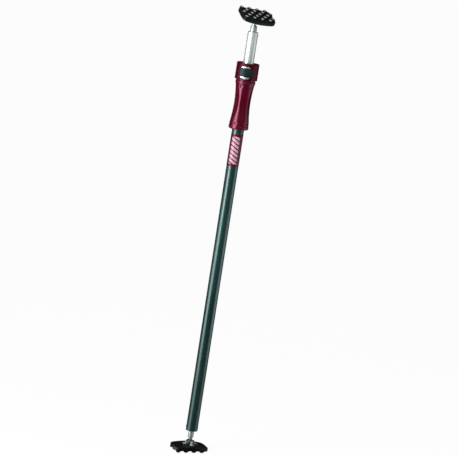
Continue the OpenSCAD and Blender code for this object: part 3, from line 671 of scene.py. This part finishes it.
# ---- Release button ----
# Near-black moulded button with a curved front, rounded edges and five plain cross ribs for the
# thumb. Its wedge, behind, lifts the lock plates.
button = eased_copy("release_button", "push_button", 0.00025, 2, bend=50)
RIB_R, RIB_BACK, RIB_PITCH, RIB_HALF, RIB_STEPS = 0.0294, 0.0286, 0.0024, radians(13), 20
RIB_ROOT, RIB_CREST, RIB_EASE = 0.0007, 0.0006, 0.0004
ribs = []
for i in range(-2, 3):
    z = WINDOW_Z + i * RIB_PITCH
    rib = drawn(f"rib_{i + 2}", eased([
        (RIB_BACK, z - RIB_ROOT, 0), (RIB_R, z - RIB_CREST, RIB_EASE),
        (RIB_R, z + RIB_CREST, RIB_EASE), (RIB_BACK, z + RIB_ROOT, 0)]))
    rib.data.transform(Matrix.Rotation(-pi / 2 + COLLAR_TURN - RIB_HALF, 4, "Z"))
    bpy.ops.object.mode_set(mode="EDIT")
    bpy.ops.mesh.select_all(action="SELECT")
    bpy.ops.mesh.spin(steps=RIB_STEPS, angle=-2 * RIB_HALF, center=(0, 0, 0), axis=(0, 0, 1))
    bpy.ops.object.mode_set(mode="OBJECT")
    closed_up(rib, 40)
    ribs.append(rib)
bpy.ops.object.select_all(action="DESELECT")
for rib in ribs:
    rib.select_set(True)
bpy.context.view_layer.objects.active = ribs[0]
bpy.ops.object.join()
button_ribs = bpy.context.object
button_ribs.name = button_ribs.data.name = "button_ribs"

# A pressed bright steel plate behind the button's face shows above and below it in the window.
BEZEL_HALF, BEZEL_BACK, BEZEL_FACE, BEZEL_SIDES = 0.0145, 0.0268, 0.0275, 180
bezel = turned("button_bezel", eased([
    (BEZEL_BACK, WINDOW_Z - BEZEL_HALF, 0.0002), (BEZEL_FACE, WINDOW_Z - BEZEL_HALF, 0.0003),
    *[(BEZEL_FACE, WINDOW_Z + BEZEL_HALF * (i / 8 - 1), 0) for i in range(1, 16)],
    (BEZEL_FACE, WINDOW_Z + BEZEL_HALF, 0.0003), (BEZEL_BACK, WINDOW_Z + BEZEL_HALF, 0.0002)]),
    sides=BEZEL_SIDES)
cut_away(bezel, window_disc(WINDOW_R - 0.0004), "INTERSECT")
bezel.data.transform(Matrix.Rotation(COLLAR_TURN, 4, "Z"))
dress(bright_steel, "button_bezel")
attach(bezel, "release_button")

button_plastic, shader, place = start_material("button_plastic", Specular_IOR_Level=0.2)
grain = place.noise(1200, 3)
polish = place.noise(70, 3).between(0.4, 0.7)
feed(shader, polish.mix((0.003, 0.010, 0.0095), (0.008, 0.019, 0.0175)), "Base Color")
feed(shader, grain.between(0.3, 0.7, 0.44, 0.52) - polish * 0.06, "Roughness")
bump(shader, grain, 0.00004)
# The black ring in the window's edge takes this near-black as painted shade.
dress(button_plastic, "push_button", "button_ribs", "release_button", "window_shade_ring")
for piece in (button, button_ribs):
    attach(piece, "release_button")
    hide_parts("release_button")

# ---- Grip's inner parts ----
# A machined brass nut runs on the thread. A plastic ring below it and a screwed ring above the
# collar's flange keep both in the grip.
brass, shader, place = start_material("brass", Metallic=1.0)
cuts = place.noise(700, 3, (0.1, 0.1, 1))
feed(shader, cuts.mix((0.56, 0.40, 0.17), (0.68, 0.50, 0.23)), "Base Color")
feed(shader, cuts.between(0.3, 0.7, 0.26, 0.38), "Roughness")
bump(shader, cuts, 0.00003)
dress(brass, "grip_nut")

lower_ring = eased_copy("grip_lower_ring", "lower_ring", 0.0004)
dress(plug_plastic, "lower_ring", "grip_lower_ring")
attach(lower_ring, "grip")
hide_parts("grip_lower_ring")

# ---- Grip ----
# Moulded crimson handle, hollow curved between a rounded bead at each end. Six long shallow flutes
# run down it, and six small round dimples ring it next to each bead.
GRIP_Z, GRIP_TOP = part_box("grip")[0][2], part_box("grip")[1][2]
GRIP_LEN = GRIP_TOP - GRIP_Z
END_R, NECK_R, WAIST_R = 0.0248, 0.0241, 0.0202
BEAD_LEN, BEAD_ROUND = 0.011, 0.004
WAIST_Z = GRIP_Z + 0.54 * GRIP_LEN
WAIST_HALF = GRIP_LEN / 2 - BEAD_LEN
WAIST_ARC = (WAIST_HALF ** 2 + (NECK_R - WAIST_R) ** 2) / (2 * (NECK_R - WAIST_R))
FLUTES, FLUTE_BALL, FLUTE_DEPTH, FLUTE_TURN = 6, 0.180, 0.002, radians(15)
DIMPLE_BALL, DIMPLE_DEPTH, DIMPLE_INSET = 0.009, 0.0011, 0.016
PART_GAP = 0.00005
NUT_BORE = (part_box("grip_nut")[1][0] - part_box("grip_nut")[0][0]) / 2 + PART_GAP
NUT_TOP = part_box("grip_nut")[1][2] + PART_GAP
ring_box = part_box("grip_retaining_ring")
RING_R = (ring_box[1][0] - ring_box[0][0]) / 2 + PART_GAP
RING_Z = ring_box[0][2] - PART_GAP
WASHER_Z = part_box("thrust_washer")[0][2] - 0.00003
CAVITY_R, RING_STEP, BEAD_GAP = 0.0168, 0.0001, 0.0004
GRIP_SIDES, GRIP_ROWS = 288, 170
FLUTE_SOFT, DIMPLE_SOFT, INSIDE_R = 0.00010, 0.00004, 0.0195


def waist_r(z):
    """Radius of the hollow curve at a height, before its flutes."""
    return min(NECK_R, WAIST_R + WAIST_ARC - sqrt(WAIST_ARC ** 2 - (z - WAIST_Z) ** 2))


def bead(low):
    """A rounded bead's outline, upwards from its underside."""
    arc = [(END_R - BEAD_ROUND + BEAD_ROUND * sin(a), low + BEAD_ROUND - BEAD_ROUND * cos(a))
           for a in (radians(d) for d in range(0, 91, 9))]
    return arc + [(r, 2 * low + BEAD_LEN - z) for r, z in reversed(arc)]


low_bead = [p for p in bead(GRIP_Z)
            if not (p[1] > GRIP_Z + BEAD_LEN / 2 and p[0] < waist_r(p[1]))]
top_bead = [p for p in bead(GRIP_TOP - BEAD_LEN)
            if not (p[1] < GRIP_TOP - BEAD_LEN / 2 and p[0] < waist_r(p[1]))]
curve_low, curve_high = low_bead[-1][1] + BEAD_GAP, top_bead[0][1] - BEAD_GAP
curve = [(waist_r(z), z) for z in (curve_low + (curve_high - curve_low) * i / GRIP_ROWS
                                   for i in range(GRIP_ROWS + 1))]
grip = turned("fluted_handle", low_bead + curve + top_bead + [
    (RING_R, GRIP_TOP), (RING_R, RING_Z), (RING_R - RING_STEP, RING_Z),
    (RING_R - RING_STEP, WASHER_Z), (CAVITY_R, WASHER_Z), (CAVITY_R, NUT_TOP), (NUT_BORE, NUT_TOP),
    (NUT_BORE, GRIP_Z)], sides=GRIP_SIDES)


def blended_cut(radius, cut, softness):
    """The smaller of two radii, with the ridge between them softened."""
    if cut - radius > 12 * softness:
        return radius
    shared = exp(-radius / softness + 100) + exp(-cut / softness + 100)
    return -softness * log(shared) + 100 * softness


FLUTE_AT = WAIST_R - FLUTE_DEPTH + FLUTE_BALL
dimples = [(z, waist_r(z) - DIMPLE_DEPTH + DIMPLE_BALL)
           for z in (GRIP_Z + DIMPLE_INSET, GRIP_TOP - DIMPLE_INSET)]
for corner in grip.data.vertices:
    x, y, z = corner.co
    girth = hypot(x, y)
    if girth < INSIDE_R or not curve_low - 0.0001 < z < curve_high + 0.0001:
        continue
    around = atan2(x, -y)
    step = 2 * pi / FLUTES
    radius = girth
    for turn, distance, ball, level, softness in (
            [(FLUTE_TURN + step / 2, FLUTE_AT, FLUTE_BALL, WAIST_Z, FLUTE_SOFT)]
            + [(FLUTE_TURN, distance, DIMPLE_BALL, level, DIMPLE_SOFT)
               for level, distance in dimples]):
        off = (around - turn + step / 2) % step - step / 2
        reach = ball ** 2 - (z - level) ** 2 - (distance * sin(off)) ** 2
        if reach > 0:
            radius = blended_cut(radius, distance * cos(off) - sqrt(reach), softness)
    corner.co = (x * radius / girth, y * radius / girth, z)

dress(crimson_plastic("grip_crimson", END_R, 0.68, 0.0),
      "fluted_handle", "grip", "grip_retaining_ring")
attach(grip, "grip")
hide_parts("grip")

# ---- Stems and ball joints ----
# Each stem is turned from steel bar and bright zinc plated, with a shoulder down to a neck. A black
# nylon ball sits on the neck in a thin cup, and a spring clip keeps the stem in its plug.
stem_zinc, shader, place = start_material("stem_zinc", Metallic=0.65)
tooling = place.noise(900, 3, (0.15, 0.15, 1))
bloom = place.noise(90, 4).between(0.35, 0.7)
feed(shader, bloom.mix((0.46, 0.57, 0.54), (0.34, 0.43, 0.41)), "Base Color")
feed(shader, tooling.between(0.3, 0.7, 0.30, 0.42), "Roughness")
bump(shader, tooling, 0.00003)
for end in ("foot", "head"):
    stem = eased_copy(f"{end}_stem", f"{end}_turned_stem", 0.0006, 3)
    dress(stem_zinc, stem.name, f"{end}_stem")
    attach(stem, f"{end}_stem")
    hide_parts(f"{end}_stem")

nylon, shader, place = start_material("black_nylon")
feed(shader, place.noise(200, 3).mix((0.012, 0.014, 0.015), (0.022, 0.025, 0.026)), "Base Color")
feed(shader, place.noise(400, 3).between(0.3, 0.7, 0.28, 0.38), "Roughness")
bump(shader, place.noise(1600, 2), 0.00002)
dress(nylon, "foot_ball", "head_ball", "foot_cup", "head_cup")

# ---- Pads ----
# A domed charcoal plate moulded on a black rubber sole with five rows of diamond studs. Four
# pressed fingers of bright spring steel, each held by a rivet, hook over the ball joint's cup.
pad_plastic, shader, place = start_material("pad_plastic", Specular_IOR_Level=0.22)
grain = place.noise(1100, 4)
dust = place.noise(38, 5).between(0.45, 0.72)
feed(shader, (dust * 0.5).mix((0.0035, 0.0048, 0.0048), (0.012, 0.014, 0.014)), "Base Color")
feed(shader, grain.between(0.3, 0.7, 0.36, 0.48) + dust * 0.05, "Roughness")
bump(shader, grain, 0.00006)

STUD_DROP, TREAD_DEEP, TREAD_FADE = 0.021, 0.0006, 0.0002
RUBBER, RUBBER_BLOOM, RUBBER_WEAR_AND_GLINT = (
    (0.0028, 0.0034, 0.0036), (0.0052, 0.0060, 0.0060), (0.33, 0.35, 0.345))
PAD_TILT = Matrix.Rotation(radians(26.5), 3, "X") @ Matrix.Rotation(radians(4), 3, "Y")
HEAD_Z = next(joint["pos_m"][2] for joint in frame["joints"] if joint["name"] == "head_tilt_x")
for end, outward, ball in (("foot", Vector((0, 0, -1)), Vector((0, 0, STUD_DROP))),
                           ("head", PAD_TILT @ Vector((0, 0, 1)), Vector((0, 0, HEAD_Z)))):
    plate = eased_copy(f"{end}_plate", f"{end}_domed_plate", 0.0006, 3, bend=50, flat=0.05)
    dress(pad_plastic, plate.name, f"{end}_plate")
    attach(plate, f"{end}_pad")
    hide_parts(f"{end}_plate")

    face = outward.dot(ball) + STUD_DROP
    rubber, shader, place = start_material(f"{end}_rubber", Specular_IOR_Level=0.10)
    # The studs' outer skin is lightened: partly wear, mostly a painted glint on the stud tops.
    tread_wear_and_glint = (place.along(outward).between(face - TREAD_DEEP, face - TREAD_FADE)
             * place.noise(420, 4).between(0.25, 0.6, 0.5, 1))
    bloom = place.noise(60, 4).between(0.4, 0.7)
    feed(shader, tread_wear_and_glint.mix(bloom.mix(RUBBER, RUBBER_BLOOM), RUBBER_WEAR_AND_GLINT), "Base Color")
    feed(shader, tread_wear_and_glint.between(0, 1, 0.52, 0.72), "Roughness")
    bump(shader, place.noise(1500, 3), 0.00006)
    sole = eased_copy(f"{end}_sole", f"{end}_studded_sole", 0.0003, 2, bend=50, flat=0.05)
    dress(rubber, sole.name, f"{end}_sole")
    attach(sole, f"{end}_pad")
    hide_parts(f"{end}_sole")

    fingers = eased_copy(f"{end}_retainers", f"{end}_spring_fingers", 0.0003, 2)
    heads = eased_copy(f"{end}_retainer_rivets", f"{end}_finger_rivets", 0.0004, 3)
    for piece, slot, material, node in ((fingers, "stem_steel", bright_steel, f"{end}_retainers"),
                                        (heads, "steel", steel, f"{end}_retainer_rivets")):
        dress(material, piece.name, node)
        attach(piece, f"{end}_pad")
        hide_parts(node)
